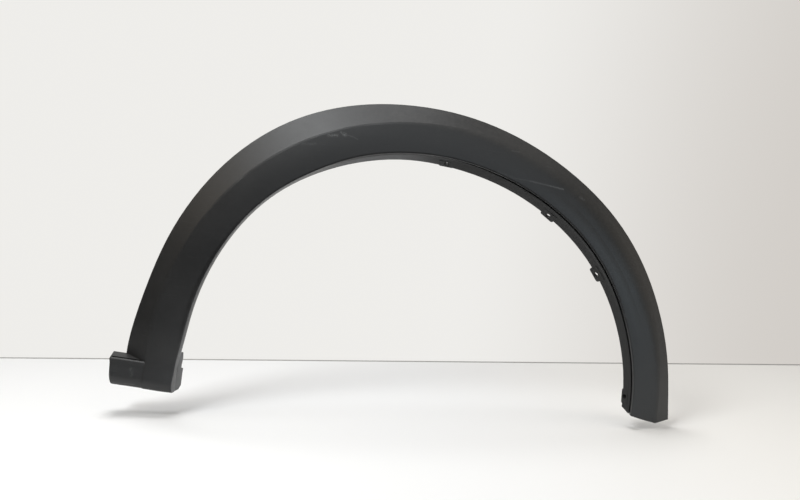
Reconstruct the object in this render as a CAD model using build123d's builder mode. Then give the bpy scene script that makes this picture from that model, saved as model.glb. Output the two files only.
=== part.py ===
from build123d import *
from math import cos, degrees, radians, sin
import os

os.makedirs("parts", exist_ok=True)

# Wheel opening, wall of the moulding and ring of seat pads.
# The wheel axis lies straight below the crown pad.
opening_radius = 373.0
wall = 2.8
pad_inset = 27.0
pad_radius = opening_radius + pad_inset
wheel = Vector(0, 0, -pad_radius)

# Sizes along the arch, each at a turn in degrees from the level right end over the crown to the foot.
# The foot's sole lies below the wheel axis, its ledge and bulge above the sole.
foot_drop = 71.2
foot_height = 45.4
bulge_height = 13.5
foot_turn = 180 + degrees(foot_drop / opening_radius)
ledge_turn = 180 + degrees((foot_drop - foot_height) / opening_radius)
bulge_turn = 180 + degrees((foot_drop - bulge_height) / opening_radius)
under_turn = (bulge_turn + foot_turn) / 2
face_width = {-6: 44, 0: 43, 30: 39.5, 75: 44.5, 118: 50, 160: 47, 180: 48.5, foot_turn: 50}
facet_width = {
    -6: 34, 0: 27, 7: 22.4, 16: 22.4, 42: 25, 62: 23, 92: 29.3, 125: 40.2, 164: 33.6, 174: 34.8, 182: 44,
    foot_turn: 42,
}
crease_blend = {-6: 3, 6: 4, 28: 15, 62: 15, 90: 4, 104: 1.6, 158: 1.6, 174: 9, ledge_turn: 3, foot_turn: 1}

# Depth in front of the car body, and the roll of the foot's front.
bulge_depth = 28.0
under_depth = 26.2
sole_depth = 20.5
face_depth = {
    -6: 24, 150: 24, 180: 22.6, ledge_turn: 22.2, bulge_turn: bulge_depth,
    under_turn: under_depth, foot_turn: sole_depth,
}
crease_depth = {
    -6: 18, 150: 18, 180: 20.5, ledge_turn: 21.8, bulge_turn: bulge_depth,
    under_turn: under_depth, foot_turn: sole_depth,
}
face_crown = 0.9

# Return at the wheel opening: the face's lip inside the opening radius, and the flange's edge past the lip.
lip_reach = {
    -6: -0.2, 20: 0, 32: -2.4, 50: -2.9, 62: -1.2, 75: -0.4, 105: -0.4, 115: 0.8, 122: 2, 130: 2, 140: 4,
    150: 6.6, 165: 9, 175: 6.5, 180: 4, ledge_turn: 0.4, foot_turn: -0.4,
}
lip_blend = 3.0
flange_reach = {
    -6: 9.6, 20: 11.1, 32: 12.8, 52: 14, 80: 13.4, 95: 9.4, 105: 7.8, 115: 4, 125: 1.6, 140: 0.4, 155: 0,
    foot_turn: 0,
}
flange_back = {-6: -6, 75: -6, 100: -3, 120: -5, 140: -8, foot_turn: -8.3}

# Shadow slot between lip and flange, open on the right and closed on the left.
slot_open = {-6: 1, 66: 1, 96: 0.1, foot_turn: 0.1}
slot_width = 2.0
slot_draft = 0.3
slot_slope = 1.2
floor_depth = 5.0
floor_gain = 5.0
fin_depth = 8.0
fin_gain = 3.6
fin_wall = 1.2
fin_slope = 0.8

# Trimmed right end: height over the wheel axis at the lip, slopes over flange, face and facet, and inward.
end_height = 4.6
flange_fall = 0.6
face_fall = 0.2
facet_rise = 0.08
end_rise = 0.12

# Screw tabs on the flange, each at its turn: reach past the flange's back edge, and wall.
tab_sizes = {4.9: (2.2, 9.0), 37.7: (6.3, 5.5), 57.2: (4.4, 5.5), 86.2: (1.0, 8.0)}
tab_length = 25.0
tab_root = 10.0
tab_corner = 3.5
tab_proud = 0.6
hole_radius = 4.0
hole_margin = 2.2

# Sill foot, left of the opening, and its side toward the wheel.
foot_reach = 118.5
foot_left = opening_radius + foot_reach
foot_rake = 6.8
foot_flare = 0.18
foot_inset = 0.12
foot_round = 2.4
ledge_rise = 4.4
groove_inset = 2.6
groove_width = 3.4
groove_depth = 3.0
sole_back = 10.0
side_start = -10.0
side_inset = -0.8
side_flare = 0.22
side_lean = 0.035
side_reach = 17.0
side_chamfer = 6.0
notch_reach = 11.3
notch_height = 36.2
stub_reach = 13.3
stub_height = 53.0
stub_taper = 10.0
stub_top = 65.0

# Seat pads and gussets on the hollow side.
pad_turns = (20, 54, 90, 122, 150, 172)
pad_long = 26.0
pad_wide = 16.0
pad_wall = 2.2
gusset_wall = 1.8
gusset_height = 8.0
gusset_from_rim = 6.0
gusset_from_lip = 10.0
gusset_turns = [11 + 24 * n for n in range(8)]


def along(sizes, turn):
    """Size at a turn, eased through the given sizes without overshoot."""
    turns = list(sizes)
    values = list(sizes.values())
    turn = min(max(turn, turns[0]), turns[-1])
    n = max(i for i in range(len(turns) - 1) if turns[i] <= turn)
    rates = [(v - u) / (t - s) for s, t, u, v in zip(turns, turns[1:], values, values[1:])]
    slopes = [0.0] + [2 * a * b / (a + b) if a * b > 0 else 0.0 for a, b in zip(rates, rates[1:])] + [0.0]
    span = turns[n + 1] - turns[n]
    u = (turn - turns[n]) / span
    start = values[n] * (1 + 2 * u) + slopes[n] * span * u
    end = values[n + 1] * (3 - 2 * u) - slopes[n + 1] * span * (1 - u)
    return start * (1 - u) ** 2 + end * u**2


def station(turn):
    """Plane across the moulding: local x runs outward from the wheel, local y into the car."""
    bend = min(max(turn, 0), 180)
    outward = Vector(cos(radians(bend)), 0, sin(radians(bend)))
    onward = Vector(-sin(radians(bend)), 0, cos(radians(bend)))
    return Plane(wheel + onward * (opening_radius * radians(turn - bend)), x_dir=outward, z_dir=onward)


def skin(turn):
    """Corners of the outer skin, from the rim on the body over the slot to the flange's back edge."""
    crease = opening_radius + along(face_width, turn)
    lip = opening_radius - along(lip_reach, turn)
    front = -along(face_depth, turn)
    share = along(slot_open, turn)
    slot_floor = front + floor_depth + floor_gain * share
    fin = lip - slot_width * share
    fin_top = front + fin_depth - fin_gain * share
    return [
        Vector(crease + along(facet_width, turn), 0),
        Vector(crease, -along(crease_depth, turn)),
        Vector(lip, front),
        Vector(lip + slot_draft * share, slot_floor),
        Vector(fin, slot_floor + slot_slope),
        Vector(fin, fin_top),
        Vector(fin - fin_wall * share, fin_top + fin_slope),
        Vector(lip - along(flange_reach, turn), along(flange_back, turn)),
    ]


def hollow_side(turn, gap):
    """The skin moved by the gap to the hollow side, past the fin, with mitred corners, rim on the body."""
    *front, slot_end, _, fin_foot, edge = skin(turn)
    share = (slot_end.Y - fin_foot.Y) / (edge.Y - fin_foot.Y)
    line = [*front, fin_foot + (edge - fin_foot) * share, edge]
    runs = [(q - p).normalized() for p, q in zip(line, line[1:])]
    sides = [Vector(d.Y, -d.X) for d in runs]
    middles = [(a + b).normalized() for a, b in zip(sides, sides[1:])]
    corners = [p + m * (gap / m.dot(s)) for p, m, s in zip(line[1:], middles, sides[1:])]
    rim = line[0] + sides[0] * gap
    return [rim - runs[0] * (rim.Y / runs[0].Y)] + corners + [line[-1] + sides[-1] * gap]


def toward(point, aim, distance):
    """Point at a distance from one point on the way to another."""
    return point + (aim - point).normalized() * distance


def flange_plane(turn):
    """Plane on the flange's visible side at its back edge: x along the arch, y backward, z to the wheel."""
    root, edge = skin(turn)[-2:]
    across = station(turn)
    back = (across.from_local_coords(edge) - across.from_local_coords(root)).normalized()
    return Plane(across.from_local_coords(edge), x_dir=across.z_dir, z_dir=across.z_dir.cross(back))


def foot_end(gap):
    """Raked plane inside the foot's left end by the gap: local x runs into the car, local y up the rake."""
    lean = radians(foot_rake)
    start = (gap / cos(lean) - foot_left, 0, wheel.Z)
    return Plane(start, x_dir=(-foot_flare, cos(lean), 0), z_dir=(cos(lean), foot_flare, sin(lean)))


def on_rake(depth, height):
    """Point on the raked end from its depth and its height over the wheel axis."""
    return Vector(depth, height / cos(radians(foot_rake)))


def foot_front(turn, gap):
    """Point of the foot's front, a gap inside the skin."""
    return on_rake(foot_inset + gap - along(face_depth, turn), -opening_radius * radians(turn - 180))


front_turns = [(ledge_turn + bulge_turn) / 2, bulge_turn, under_turn]
foot_right = opening_radius + along(face_width, foot_turn) - wall
foot_run = foot_left - foot_right

# Left part of the sill foot: a shell under a sloping ledge, open to the car
with BuildPart() as foot:
    with BuildSketch(foot_end(0)):
        with BuildLine():
            corner = foot_front(ledge_turn, 0)
            ledge_back = on_rake(0, ledge_rise - opening_radius * radians(ledge_turn - 180))
            below = toward(corner, foot_front(front_turns[0], 0), foot_round)
            behind = toward(corner, ledge_back, foot_round)
            Line(ledge_back, behind)
            Bezier(behind, corner, below)
            Spline(below, *[foot_front(turn, 0) for turn in front_turns], foot_front(foot_turn, 0))
            Polyline(foot_front(foot_turn, 0), on_rake(sole_back, -foot_drop), ledge_back)
        make_face()
    extrude(amount=foot_run, dir=(1, 0, 0))
    end_edges = foot.faces().sort_by(Axis.X)[0].edges()
    fillet(end_edges.filter_by(lambda e: e.center().Y < -1), radius=foot_round)
    slope = (ledge_back - corner).normalized()
    below_ledge = Vector(slope.Y, -slope.X)
    ledge_wall = wall + groove_depth
    with BuildSketch(foot_end(wall)):
        with BuildLine():
            groove_front = corner + slope * groove_inset
            groove_rear = groove_front + slope * groove_width
            groove_floor = below_ledge * groove_depth
            Polyline(groove_front - below_ledge, groove_rear - below_ledge, groove_rear + groove_floor,
                     groove_front + groove_floor, close=True)
        make_face()
    extrude(amount=foot_run, dir=(1, 0, 0), mode=Mode.SUBTRACT)
    with BuildSketch(foot_end(wall)):
        with BuildLine():
            under_back = ledge_back + below_ledge * ledge_wall + slope * sole_back * 2
            under_front = corner + below_ledge * ledge_wall + slope * wall
            sole_top = on_rake(foot_inset - sole_depth, wall - foot_drop)
            Line(under_back, under_front)
            Spline(under_front, *[foot_front(turn, wall) for turn in front_turns], sole_top)
            Polyline(sole_top, on_rake(sole_back * 2, wall - foot_drop), under_back)
        make_face()
    extrude(amount=foot_run, dir=(1, 0, 0), mode=Mode.SUBTRACT)

# Seat pads, each a bridge from the back of the face to the car body, and gussets between facet and face
with BuildPart() as stiffeners:
    for turn in pad_turns:
        across = station(turn)
        seat = Plane(wheel + across.x_dir * pad_radius, x_dir=across.z_dir, z_dir=(0, 1, 0))
        share = (opening_radius + along(face_width, turn) - pad_radius) / along(face_width, turn)
        depth = along(crease_depth, turn) * (1 - share) + along(face_depth, turn) * share
        with BuildSketch(seat):
            Rectangle(pad_long, pad_wide)
        extrude(amount=-pad_wall)
        with BuildSketch(seat):
            with GridLocations(pad_long - pad_wall, 0, 2, 1):
                Rectangle(pad_wall, pad_wide)
        extrude(amount=wall / 2 - depth)
    for turn in gusset_turns:
        middle = hollow_side(turn, wall / 2)
        bend = hollow_side(turn, wall)[1]
        rim = toward(middle[0], middle[1], gusset_from_rim)
        root = toward(middle[2], middle[1], gusset_from_lip)
        with BuildSketch(station(turn)):
            with BuildLine():
                Polyline(rim, bend, root, root + Vector(0, gusset_height), close=True)
            make_face()
        extrude(amount=gusset_wall / 2, both=True)

with BuildPart() as trim:
    # Arch and the flush front of the foot, from the right end to the sole
    arch_turns = [-5] + [12 * n for n in range(16)]
    foot_turns = [ledge_turn] + front_turns + [foot_turn]
    for turn in arch_turns + foot_turns:
        outer = skin(turn)
        inner = hollow_side(turn, wall)
        blend = along(crease_blend, turn)
        with BuildSketch(station(turn)):
            with BuildLine():
                crease_in = toward(outer[1], outer[2], blend)
                crease_out = toward(outer[1], outer[0], blend)
                lip_out = toward(outer[2], outer[1], lip_blend)
                lip_in = toward(outer[2], outer[3], lip_blend)
                lip_top = (lip_out + outer[2] * 2 + lip_in) * 0.25
                swell = (crease_in + lip_out) * 0.5 - Vector(0, 2 * face_crown)
                back_in = toward(inner[1], inner[2], blend)
                back_out = toward(inner[1], inner[0], blend)
                Line(outer[0], crease_out)
                Bezier(crease_out, outer[1], crease_in)
                Bezier(crease_in, swell, lip_out)
                Polyline(lip_out, lip_top, lip_in, *outer[3:], *reversed(inner[2:]), back_in)
                Bezier(back_in, inner[1], back_out)
                Polyline(back_out, inner[0], outer[0])
            make_face()
    loft()

    # Right end trimmed on a slope for each of flange, face and facet
    end_tool = 4 * along(face_width, 0)
    end_lip = wheel + Vector(opening_radius, -along(face_depth, 0), end_height)
    end_crease = end_lip + Vector(1, 0, -face_fall) * along(face_width, 0)
    for corner, rise in ((end_lip, -flange_fall), (end_lip, -face_fall), (end_crease, facet_rise)):
        with BuildSketch(Plane(corner, x_dir=(1, 0, rise), z_dir=(-rise, -end_rise, 1))):
            Rectangle(end_tool, end_tool)
        extrude(amount=-end_tool / 2, mode=Mode.SUBTRACT)

    # Screw tabs, each a little proud of the flange
    for turn, (overhang, tab_wall) in tab_sizes.items():
        with BuildSketch(flange_plane(turn).offset(tab_proud)):
            with Locations((0, (overhang - tab_root) / 2)):
                Rectangle(tab_length, overhang + tab_root)
            fillet(vertices().group_by(Axis.Y)[-1], radius=tab_corner)
        extrude(amount=-tab_wall)
    for turn, (overhang, tab_wall) in tab_sizes.items():
        with BuildSketch(flange_plane(turn).offset(tab_proud)):
            with Locations((0, overhang - hole_margin - hole_radius)):
                Circle(hole_radius)
        extrude(amount=tab_wall + wall, both=True, mode=Mode.SUBTRACT)

    # Sill foot with its sole and its notched side plate toward the wheel
    add(foot.part)
    sole_start = -foot_right
    sole_end = -opening_radius - wall / 2
    sole_front = wall / 2 - sole_depth
    with BuildSketch(Plane(wheel + Vector(0, 0, -foot_drop))):
        with Locations(((sole_start + sole_end) / 2, (sole_front + sole_back) / 2)):
            Rectangle(sole_end - sole_start, sole_back - sole_front)
    extrude(amount=wall)
    side_root = wheel + Vector(side_inset - opening_radius, side_start, -foot_drop)
    with BuildSketch(Plane(side_root, x_dir=(side_flare, 1, 0), z_dir=(1, -side_flare, -side_lean))):
        with BuildLine():
            bottom = [(0, 0), (side_reach - side_chamfer, 0), (side_reach, side_chamfer)]
            notch = [(side_reach, notch_height), (notch_reach, notch_height), (notch_reach, stub_height - stub_taper)]
            stub = [(stub_reach, stub_height), (notch_reach, stub_top), (0, stub_top)]
            Polyline(*bottom, *notch, *stub, close=True)
        make_face()
    extrude(amount=-wall)

    add(stiffeners.part)

trim.part.label = "arch_trim"
export_step(trim.part, "parts/arch_trim.step")
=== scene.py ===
import logging
from dataclasses import dataclass, field
from enum import Enum
from typing import Any

import bpy
from mathutils import Matrix, Vector

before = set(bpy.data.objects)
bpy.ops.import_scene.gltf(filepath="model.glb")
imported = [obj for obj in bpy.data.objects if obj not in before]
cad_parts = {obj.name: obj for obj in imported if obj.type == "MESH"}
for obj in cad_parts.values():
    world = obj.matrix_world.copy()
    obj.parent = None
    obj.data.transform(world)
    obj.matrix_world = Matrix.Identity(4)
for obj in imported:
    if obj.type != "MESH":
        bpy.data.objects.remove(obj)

log = logging.getLogger("arch_trim")

Colour = tuple[float, float, float, float]

# Where a smooth step is 0 and where it is 1.
Step = tuple[float, float]


class Value:
    """A shader value that turns Python arithmetic into Math nodes."""

    def __init__(self, shader: "Shader", socket: bpy.types.NodeSocket) -> None:
        """Keep the output socket that carries the value.

        Args:
            shader: The node tree that the value belongs to.
            socket: The output socket.
        """
        self.shader = shader
        self.socket = socket

    def maths(self, operation: str, *values: Any) -> "Value":
        """Run a Math node on this value.

        Args:
            operation: The Math node's operation.
            values: The further operands, as values or numbers.

        Returns:
            The node's result.
        """
        operands = dict(enumerate((self, *values)))
        return self.shader.node("ShaderNodeMath", {"operation": operation}, operands)

    def __add__(self, other: Any) -> "Value":
        """Sum of two values."""
        return self.maths("ADD", other)

    __radd__ = __add__

    def __sub__(self, other: Any) -> "Value":
        """Difference of two values."""
        return self.maths("SUBTRACT", other)

    def __rsub__(self, other: float) -> "Value":
        """A number less this value."""
        return self.maths("MULTIPLY", -1.0).maths("ADD", other)

    def __mul__(self, other: Any) -> "Value":
        """Product of two values."""
        return self.maths("MULTIPLY", other)

    __rmul__ = __mul__

    def __truediv__(self, other: Any) -> "Value":
        """Quotient of two values."""
        return self.maths("DIVIDE", other)

    def larger(self, other: Any) -> "Value":
        """The larger of two values."""
        return self.maths("MAXIMUM", other)

    def root(self) -> "Value":
        """Square root."""
        return self.maths("SQRT")

    def rise(self, low: float, high: float) -> "Value":
        """Smooth step from 0 to 1 between two limits, or from 1 to 0 where low is the higher.

        Args:
            low: Where the step is 0.
            high: Where the step is 1.

        Returns:
            The step.
        """
        limits = {"Value": self, "From Min": low, "From Max": high}
        return self.shader.node("ShaderNodeMapRange", {"interpolation_type": "SMOOTHSTEP"}, limits)


class Shader:
    """A node tree that is written one node at a time."""

    def __init__(self, tree: bpy.types.NodeTree) -> None:
        """Empty the tree.

        Args:
            tree: The tree of a material or of the world.
        """
        self.tree = tree
        tree.nodes.clear()

    def node(self, kind: str, settings: dict[str, Any], inputs: dict[Any, Any], output: Any = 0) -> Value:
        """Add a node.

        Args:
            kind: The node's type.
            settings: Its properties, set before its sockets.
            inputs: Values or links of its sockets, by name, identifier or number.
            output: The socket to return, by name, identifier or number.

        Returns:
            The chosen output, or an input where the node ends the tree.
        """
        made = self.tree.nodes.new(kind)
        for name, setting in settings.items():
            setattr(made, name, setting)
        for key, given in inputs.items():
            socket = self.find(made.inputs, key)
            if isinstance(given, Value):
                self.tree.links.new(given.socket, socket)
            else:
                socket.default_value = given
        return Value(self, self.find(made.outputs or made.inputs, output))

    @staticmethod
    def find(sockets: Any, key: Any) -> bpy.types.NodeSocket:
        """Find a socket of a node.

        Args:
            sockets: The node's inputs or outputs.
            key: A number, an identifier or a name.

        Returns:
            The socket.
        """
        if isinstance(key, int):
            return sockets[key]
        return next((s for s in sockets if s.identifier == key), None) or sockets[key]

    def split(self, vector: Value, axes: str) -> list[Value]:
        """Take coordinates out of a vector.

        Args:
            vector: The vector.
            axes: Letters of the wanted axes.

        Returns:
            One value for each letter.
        """
        return [self.node("ShaderNodeSeparateXYZ", {}, {0: vector}, axis) for axis in axes]

    def blend(self, share: Any, first: Any, second: Any) -> Value:
        """Mix two colours.

        Args:
            share: How much of the second colour shows, from 0 to 1.
            first: The first colour.
            second: The second colour.

        Returns:
            The mixed colour.
        """
        inputs = {"Factor_Float": share, "A_Color": first, "B_Color": second}
        return self.node("ShaderNodeMix", {"data_type": "RGBA"}, inputs, "Result_Color")

    def noise(self, place: Value, scale: float, detail: float = 2.0, roughness: float = 0.5) -> Value:
        """Cloudy noise at a place.

        Args:
            place: Coordinates in metres.
            scale: Clouds per metre.
            detail: Number of finer octaves.
            roughness: Strength of the finer octaves.

        Returns:
            The noise, about 0.5 on average.
        """
        inputs = {"Vector": place, "Scale": scale, "Detail": detail, "Roughness": roughness}
        return self.node("ShaderNodeTexNoise", {}, inputs)

    def turned(self, place: Value, angle: float, stretch: tuple[float, float, float]) -> Value:
        """Coordinates turned about the wheel axis and stretched.

        Args:
            place: Coordinates in metres.
            angle: Turn in radians.
            stretch: Scale along each axis.

        Returns:
            The new coordinates.
        """
        inputs = {"Vector": place, "Rotation": (0.0, angle, 0.0), "Scale": stretch}
        return self.node("ShaderNodeMapping", {"vector_type": "POINT"}, inputs)


class Wear(Enum):
    """Kinds of mark on the outer skin."""

    SCRATCH = "scratch"
    SCUFF = "scuff"


@dataclass(frozen=True)
class Mark:
    """A mark on the outer skin, from one point to another seen from the front, in metres."""

    start: tuple[float, float]
    end: tuple[float, float]
    width: float
    strength: float
    wear: Wear = Wear.SCRATCH

    def mask(self, shader: Shader, x: Value, z: Value, ragged: Value) -> Value:
        """Show where the mark is.

        Args:
            shader: The material's nodes.
            x: Coordinate along the car.
            z: Coordinate upward.
            ragged: Noise that breaks the mark up, from 0 to 1.

        Returns:
            The mark's strength at each point.
        """
        run = Vector(self.end) - Vector(self.start)
        over = ((x - self.start[0]) * run.x + (z - self.start[1]) * run.y) / run.length_squared
        share = over.maths("MAXIMUM", 0.0).maths("MINIMUM", 1.0)
        aside = x - self.start[0] - share * run.x
        above = z - self.start[1] - share * run.y
        gap = (aside * aside + above * above).root()
        edge = gap + (ragged - 0.5) * self.width
        if self.wear is Wear.SCUFF:
            return edge.rise(self.width, 0.0) * ragged.rise(0.35, 0.65) * self.strength
        return edge.rise(self.width * 0.6, self.width * 0.15) * ragged.rise(0.2, 0.5) * self.strength


@dataclass(frozen=True)
class GrainedPlastic:
    """Charcoal polypropylene: grained and weathered outside, tool-smooth behind."""

    fresh: Colour = (0.0095, 0.0099, 0.0106, 1.0)
    faded: Colour = (0.0170, 0.0172, 0.0176, 1.0)
    hidden: Colour = (0.0120, 0.0122, 0.0126, 1.0)
    dust: Colour = (0.0700, 0.0650, 0.0580, 1.0)
    # Painted shade: darkens the seam at the foot's joint and the right flange.
    painted_shade: Colour = (0.0030, 0.0030, 0.0030, 1.0)
    # Painted light: a paler tone on the faces turned to the wheel at the left and in the shadow slot.
    painted_light: Colour = (0.1700, 0.1720, 0.1750, 1.0)
    bruise: Colour = (0.1200, 0.1210, 0.1230, 1.0)
    grain_cells: float = 1050.0
    grain_depth: float = 0.00009
    specular: float = 0.50
    rough_outside: float = 0.46
    rough_behind: float = 0.40

    # Where the skin turns to the hollow side or to the wheel, by its normal.
    outside_step: Step = (0.35, -0.15)
    wheelward_step: Step = (0.55, 0.90)
    ledge_step: Step = (0.15, 0.75)

    # Parts of the moulding, by place and by radius from the wheel axis, in metres.
    right_step: Step = (-0.05, 0.05)
    crown_step: Step = (-0.25, -0.15)
    foot_step: Step = (-0.39, -0.42)
    wheelward_light_step: Step = (0.10, -0.08)
    slot_inner: Step = (0.3695, 0.3705)
    slot_outer: Step = (0.3745, 0.3735)
    slot_facing: Step = (-0.7, -0.4)
    flange_step: Step = (0.3722, 0.3708)
    lip_step: Step = (0.3735, 0.3705)
    return_step: Step = (0.3712, 0.3728)

    # Joint between the arch and the left part of the foot, where painted shade darkens the seam's lit edge.
    joint_facing: Step = (-0.12, -0.30)
    joint_left: Step = (-0.428, -0.426)
    joint_right: Step = (-0.420, -0.422)
    joint_top: Step = (-0.418, -0.428)

    # Clouds per metre in the noises.
    cloud_scale: float = 9.0
    mottle_scale: float = 140.0
    ragged_scale: float = 420.0

    # Shares of painted light, painted shade and bruise, and what each part adds to the roughness.
    slot_light_share: float = 0.35
    joint_shade_share: float = 0.4
    flange_shade_share: float = 0.6
    hair_bruise: float = 0.10
    cloud_rough: float = 0.10
    mottle_rough: float = 0.08
    worn_rough: float = 0.15
    lip_rough: float = -0.10
    joint_rough: float = 0.14
    flange_rough: float = 0.22

    def material(self, marks: list[Mark], wheel_drop: float) -> bpy.types.Material:
        """Make the finish as a node material.

        Args:
            marks: The marks on the outer skin.
            wheel_drop: How far the wheel axis lies below the origin.

        Returns:
            The material.
        """
        made = bpy.data.materials.new("grained_charcoal_plastic")
        made.use_nodes = True
        shader = Shader(made.node_tree)
        place = shader.node("ShaderNodeTexCoord", {}, {}, "Object")
        x, z = shader.split(place, "XZ")
        facing = shader.node("ShaderNodeTexCoord", {}, {}, "Normal")
        aside, inward, upward = shader.split(facing, "XYZ")
        outside = inward.rise(*self.outside_step)
        radius = (x * x + (z + wheel_drop) * (z + wheel_drop)).root()
        to_wheel = (aside * x + upward * (z + wheel_drop)) / radius * -1.0

        right = x.rise(*self.right_step)
        crown = z.rise(*self.crown_step)
        foot = z.rise(*self.foot_step)
        lip = radius.rise(*self.lip_step) * outside
        # Painted shade darkens the flange on the right.
        flange = radius.rise(*self.flange_step) * right
        # Painted light in the shadow slot: a paler tone that lifts its dark hollow.
        slot = radius.rise(*self.slot_inner) * radius.rise(*self.slot_outer)
        slot = slot * inward.rise(*self.slot_facing) * right
        # Painted shade over the lit edge of the seam between arch and foot.
        joint = aside.rise(*self.joint_facing) * x.rise(*self.joint_left)
        joint = joint * x.rise(*self.joint_right) * z.rise(*self.joint_top)
        # Painted light: a paler tone on the faces turned to the wheel at the left, most on the foot and
        # crown.
        wheelward_light = to_wheel.rise(*self.wheelward_step) * x.rise(*self.wheelward_light_step)
        wheelward_light = wheelward_light * (foot * 0.6 + crown * 0.4 + 0.4)
        wheelward_light = wheelward_light * (1 - crown * radius.rise(*self.return_step))

        clouds = shader.noise(place, self.cloud_scale, 4.0, 0.6)
        mottle = shader.noise(place, self.mottle_scale, 3.0, 0.6)
        ragged = shader.noise(place, self.ragged_scale, 3.0, 0.65)
        hairs = self.hairlines(shader, place)
        speck = self.specks(shader, place)
        worn = self.worn(shader, marks, x, z, ragged) * outside

        fade = (clouds.rise(0.35, 0.75) * 0.45 + mottle.rise(0.3, 0.8) * 0.25) * outside
        settled = upward.rise(*self.ledge_step) * mottle.rise(0.35, 0.7) * 0.10
        settled = (settled + speck * 0.25) * outside
        colour = shader.blend(outside, self.hidden, self.fresh)
        colour = shader.blend(fade, colour, self.faded)
        colour = shader.blend(settled, colour, self.dust)
        colour = shader.blend(wheelward_light * (clouds.rise(0.2, 0.8) * 0.4 + 0.5), colour, self.painted_light)
        colour = shader.blend(slot * self.slot_light_share, colour, self.painted_light)
        painted_shade_share = (joint * self.joint_shade_share).larger(flange * self.flange_shade_share)
        colour = shader.blend(painted_shade_share, colour, self.painted_shade)
        colour = shader.blend(hairs * outside * self.hair_bruise, colour, self.bruise)
        colour = shader.blend(worn, colour, self.bruise)

        rough = outside * (self.rough_outside - self.rough_behind) + self.rough_behind
        rough = rough + (clouds - 0.5) * self.cloud_rough + (mottle - 0.5) * self.mottle_rough
        rough = rough + worn * self.worn_rough + lip * self.lip_rough
        rough = rough + joint * self.joint_rough + flange * self.flange_rough

        inputs = {
            "Base Color": colour,
            "Roughness": rough,
            "Specular IOR Level": self.specular,
            "Normal": self.relief(shader, place, outside, worn, hairs),
        }
        surface = shader.node("ShaderNodeBsdfPrincipled", {}, inputs)
        shader.node("ShaderNodeOutputMaterial", {}, {"Surface": surface})
        return made

    @staticmethod
    def hairlines(shader: Shader, place: Value) -> Value:
        """Fine handling scratches in two directions.

        Args:
            shader: The material's nodes.
            place: Coordinates in metres.

        Returns:
            The hairlines' strength.
        """
        first = shader.noise(shader.turned(place, 0.35, (24.0, 24.0, 1100.0)), 1.0, 1.0)
        second = shader.noise(shader.turned(place, -0.85, (18.0, 18.0, 900.0)), 1.0, 1.0)
        gate = shader.noise(place, 30.0, 2.0).rise(0.52, 0.66)
        return first.rise(0.66, 0.74).larger(second.rise(0.68, 0.76)) * gate

    @staticmethod
    def specks(shader: Shader, place: Value) -> Value:
        """Sparse specks of dust.

        Args:
            shader: The material's nodes.
            place: Coordinates in metres.

        Returns:
            The specks' strength.
        """
        settings = {"feature": "F1"}
        inputs = {"Vector": place, "Scale": 190.0, "Randomness": 1.0}
        gap = shader.node("ShaderNodeTexVoronoi", settings, inputs, "Distance")
        return gap.rise(0.10, 0.04) * shader.noise(place, 60.0, 2.0).rise(0.52, 0.64)

    @staticmethod
    def worn(shader: Shader, marks: list[Mark], x: Value, z: Value, ragged: Value) -> Value:
        """All marks together.

        Args:
            shader: The material's nodes.
            marks: The marks.
            x: Coordinate along the car.
            z: Coordinate upward.
            ragged: Noise that breaks the marks up.

        Returns:
            The strongest mark at each point.
        """
        masks = [mark.mask(shader, x, z, ragged) for mark in marks]
        total = masks[0]
        for mask in masks[1:]:
            total = total.larger(mask)
        return total

    def relief(self, shader: Shader, place: Value, outside: Value, worn: Value, hairs: Value) -> Value:
        """Normal of the grained skin.

        Args:
            shader: The material's nodes.
            place: Coordinates in metres.
            outside: 1 on the grained skin and 0 behind.
            worn: Strength of the marks.
            hairs: Strength of the hairlines.

        Returns:
            The bumped normal.
        """
        cells = {"Vector": place, "Scale": self.grain_cells, "Randomness": 1.0, "Smoothness": 0.6}
        pebbles = shader.node("ShaderNodeTexVoronoi", {"feature": "SMOOTH_F1"}, cells, "Distance")
        fine = shader.noise(place, self.grain_cells * 2.6, 2.0)
        grain = (pebbles * 0.75 + fine * 0.35) * (outside * 0.85 + 0.15)
        waves = shader.noise(place, 22.0, 1.0) * 0.6
        height = grain * (1 - worn * 0.7) + waves - hairs * 0.25
        inputs = {"Strength": 0.55, "Distance": self.grain_depth, "Height": height}
        return shader.node("ShaderNodeBump", {}, inputs)


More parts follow.
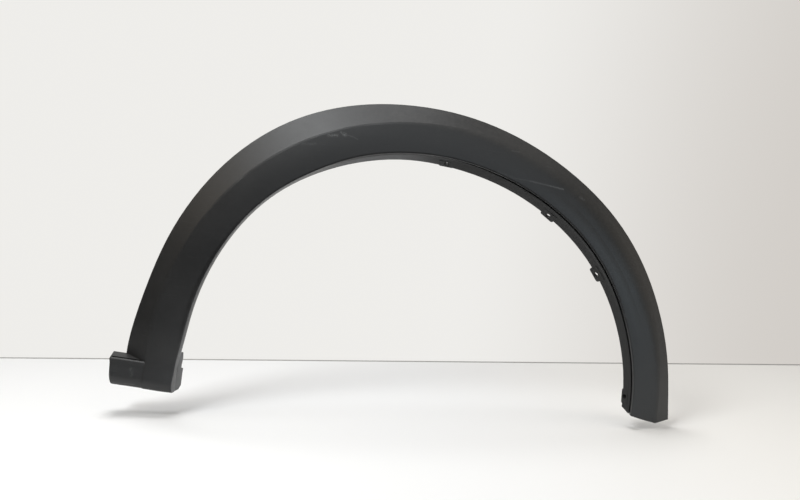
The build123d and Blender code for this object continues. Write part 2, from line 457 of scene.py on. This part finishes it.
@dataclass
class ArchTrim:
    """The moulded trim, dressed on its solid."""

    node: str = "arch_trim"
    wheel_drop: float = 0.400
    finish: GrainedPlastic = field(default_factory=GrainedPlastic)
    marks: list[Mark] = field(default_factory=lambda: [
        Mark((-0.1680, -0.0168), (-0.1540, -0.0150), 0.0042, 0.80, Wear.SCUFF),
        Mark((-0.1490, -0.0095), (-0.1420, -0.0125), 0.0036, 0.55, Wear.SCUFF),
        Mark((-0.1446, -0.0118), (-0.1414, -0.0126), 0.0050, 0.95, Wear.SCUFF),
        Mark((-0.1420, -0.0122), (-0.1300, -0.0138), 0.0024, 0.22),
        Mark((-0.1300, -0.0138), (-0.1210, -0.0170), 0.0026, 0.18),
        Mark((-0.2070, -0.0358), (-0.1870, -0.0330), 0.0042, 0.24, Wear.SCUFF),
        Mark((0.1060, -0.0384), (0.1300, -0.0445), 0.0050, 0.16, Wear.SCUFF),
        Mark((0.1300, -0.0445), (0.1570, -0.0455), 0.0026, 0.14),
        Mark((0.1570, -0.0455), (0.1890, -0.0488), 0.0030, 0.30),
        Mark((0.1890, -0.0488), (0.2110, -0.0512), 0.0034, 0.42),
        Mark((0.2396, -0.0595), (0.2467, -0.0633), 0.0034, 0.30, Wear.SCUFF),
        Mark((0.1230, -0.0022), (0.1350, -0.0028), 0.0030, 0.13),
        Mark((0.3372, -0.2330), (0.3392, -0.2375), 0.0030, 0.30, Wear.SCUFF),
        Mark((-0.4455, -0.4395), (-0.4425, -0.4490), 0.0052, 0.30, Wear.SCUFF),
        Mark((-0.4540, -0.4660), (-0.4370, -0.4650), 0.0020, 0.30),
    ])

    def dress(self) -> None:
        """Give the solid its finish."""
        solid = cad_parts[self.node]
        solid.data.materials.clear()
        solid.data.materials.append(self.finish.material(self.marks, self.wheel_drop))
        log.info("dressed %s with %d marks", self.node, len(self.marks))


@dataclass(frozen=True)
class Lamp:
    """A soft rectangular lamp."""

    name: str
    place: tuple[float, float, float]
    aim: tuple[float, float, float]
    width: float
    height: float
    power: float
    tint: tuple[float, float, float] = (1.0, 1.0, 1.0)

    def build(self) -> None:
        """Add the lamp to the scene."""
        bpy.ops.object.light_add(type="AREA", location=self.place)
        lamp = bpy.context.object
        lamp.name = self.name
        lamp.data.shape = "RECTANGLE"
        lamp.data.size = self.width
        lamp.data.size_y = self.height
        lamp.data.energy = self.power
        lamp.data.color = self.tint
        lamp.rotation_euler = (Vector(self.aim) - Vector(self.place)).to_track_quat("-Z", "Y").to_euler()


@dataclass
class Studio:
    """Pale table, even light and the photograph's viewpoint."""

    eye: tuple[float, float, float] = (0.00138, -1.04113, -0.08737)
    right: tuple[float, float, float] = (0.9898, 0.04362, 0.13559)
    up: tuple[float, float, float] = (-0.13897, 0.08707, 0.98646)
    ahead: tuple[float, float, float] = (-0.03122, 0.99525, -0.09225)
    lens: float = 28.8
    sensor: float = 36.0
    clip_near: float = 0.05
    touch: tuple[float, float, float] = (0.425, -0.015, -0.4130)
    table_rise: float = 0.125
    table_turn: float = 0.0539
    table_left: float = -1.40
    table_right: float = 0.60
    table_front: float = -0.33
    table_back: float = 0.4125
    warm_light_step: Step = (-0.45, 0.25)
    table_rough: float = 0.58
    table_patchy: float = 0.12
    edge_outer: float = 0.006
    edge_inner: float = 0.012
    table_tint: Colour = (0.860, 0.860, 0.858, 1.0)
    table_warm_light: Colour = (0.905, 0.885, 0.850, 1.0)
    back_edge_shadow: Colour = (0.300, 0.290, 0.280, 1.0)
    wall_tint: Colour = (0.860, 0.850, 0.825, 1.0)
    wall_shade: Colour = (0.640, 0.610, 0.575, 1.0)
    room_tint: Colour = (0.072, 0.062, 0.050, 1.0)
    room_glow: Colour = (1.360, 1.440, 1.510, 1.0)
    fill_tint: Colour = (0.090, 0.090, 0.090, 1.0)
    glow_aside: float = 0.05
    glow_upward: float = 0.30
    glow_step: Step = (0.56, 0.10)
    wall_step: Step = (0.05, 0.55)
    mirror_lean: float = 0.45
    mirror_step: Step = (0.0, 0.45)
    lamps: tuple[Lamp, ...] = (
        Lamp("lamp_left", (-1.55, -0.60, 0.45), (-0.25, 0.0, -0.10), 0.8, 0.6, 2.6, (1.0, 0.86, 0.68)),
        Lamp("lamp_upper_left", (-1.10, -0.95, 1.20), (-0.20, 0.0, -0.20), 0.8, 0.8, 22.5, (0.97, 0.99, 1.0)),
        Lamp("lamp_top", (-0.58, 0.12, 2.00), (-0.30, 0.0, -0.45), 1.0, 1.0, 38.0),
        Lamp("lamp_upper_right", (0.75, -0.60, 1.25), (0.12, 0.0, -0.05), 1.0, 1.0, 3.4, (1.0, 0.95, 0.87)),
        Lamp("lamp_right", (1.75, -0.40, 0.45), (0.35, 0.0, -0.15), 1.0, 1.0, 2.0, (1.0, 0.84, 0.64)),
        Lamp("lamp_low_right", (1.30, -1.50, -0.10), (0.36, 0.0, -0.30), 1.2, 0.6, 6.2, (0.78, 0.91, 1.0)),
    )

    def build(self) -> None:
        """Make the floor, the light and the camera."""
        self.floor()
        self.world()
        for lamp in self.lamps:
            lamp.build()
        self.camera()
        log.info("studio with %d lamps", len(self.lamps))

    def floor(self) -> None:
        """Lay the table level for the viewer, just under the free end."""
        bpy.ops.object.select_all(action="DESELECT")
        middle_across = (self.table_left + self.table_right) / 2
        middle_deep = (self.table_front + self.table_back) / 2
        bpy.ops.mesh.primitive_plane_add(size=1.0, location=(middle_across, middle_deep, 0.0))
        table = bpy.context.object
        table.name = "table"
        table.scale = (self.table_right - self.table_left, self.table_back - self.table_front, 1.0)
        bpy.ops.object.transform_apply(location=True, rotation=True, scale=True)
        across = Vector((1.0, 0.0, self.table_rise)).normalized()
        inward = Vector((0.0, 1.0, 0.0))
        axes = Matrix((across, inward, across.cross(inward))).transposed().to_4x4()
        table.matrix_world = Matrix.Translation(self.touch) @ axes @ Matrix.Rotation(self.table_turn, 4, "Z")
        made = bpy.data.materials.new("table_white")
        made.use_nodes = True
        shader = Shader(made.node_tree)
        place = shader.node("ShaderNodeTexCoord", {}, {}, "Object")
        rough = shader.noise(place, 3.0, 3.0) * self.table_patchy + self.table_rough
        along, deep = shader.split(place, "XY")
        # Painted warm light: the table turns warmer towards the right.
        tint = shader.blend(along.rise(*self.warm_light_step), self.table_tint, self.table_warm_light)
        # Painted shadow: a dark strip along the table's back edge.
        edge = deep.rise(self.table_back - self.edge_inner, self.table_back - self.edge_outer)
        tint = shader.blend(edge, tint, self.back_edge_shadow)
        top = shader.node("ShaderNodeBsdfPrincipled", {}, {"Base Color": tint, "Roughness": rough})
        shader.node("ShaderNodeOutputMaterial", {}, {"Surface": top})
        table.data.materials.append(made)

    def world(self) -> None:
        """Surround the object with even light, a pale wall to see and a dim room with a glow to reflect."""
        world = bpy.data.worlds.new("studio")
        bpy.context.scene.world = world
        world.use_nodes = True
        shader = Shader(world.node_tree)
        toward = shader.node("ShaderNodeTexCoord", {}, {}, "Generated")
        aside, inward, upward = shader.split(toward, "XYZ")
        seen = shader.node("ShaderNodeLightPath", {}, {}, "Is Camera Ray")
        glossy = shader.node("ShaderNodeLightPath", {}, {}, "Is Glossy Ray")
        through = shader.node("ShaderNodeLightPath", {}, {}, "Is Transmission Ray")
        beside = aside - self.glow_aside
        above = upward - self.glow_upward
        off = (beside * beside + above * above).root()
        room = shader.blend(off.rise(*self.glow_step), self.room_tint, self.room_glow)
        wall = shader.blend(aside.rise(*self.wall_step), self.wall_tint, self.wall_shade)
        behind = (inward + aside * self.mirror_lean).rise(*self.mirror_step)
        mirrored = shader.blend(behind, room, wall)
        light = shader.blend(glossy, self.fill_tint, mirrored)
        light = shader.blend(seen.larger(through), light, wall)
        sky = shader.node("ShaderNodeBackground", {}, {"Color": light, "Strength": 1.0})
        shader.node("ShaderNodeOutputWorld", {}, {"Surface": sky})

    def camera(self) -> None:
        """Stand the camera where the photograph was taken."""
        bpy.ops.object.camera_add()
        camera = bpy.context.object
        camera.name = "viewpoint"
        axes = Matrix((self.right, self.up, -Vector(self.ahead))).transposed()
        camera.matrix_world = Matrix.Translation(self.eye) @ axes.to_4x4()
        camera.data.sensor_width = self.sensor
        camera.data.lens = self.lens
        camera.data.clip_start = self.clip_near
        bpy.context.scene.camera = camera
        bpy.context.scene.view_settings.view_transform = "Standard"


def main() -> None:
    """Build the object's looks and its setting."""
    logging.basicConfig(level=logging.INFO)
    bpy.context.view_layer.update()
    ArchTrim().dress()
    Studio().build()


if __name__ == "__main__":
    main()
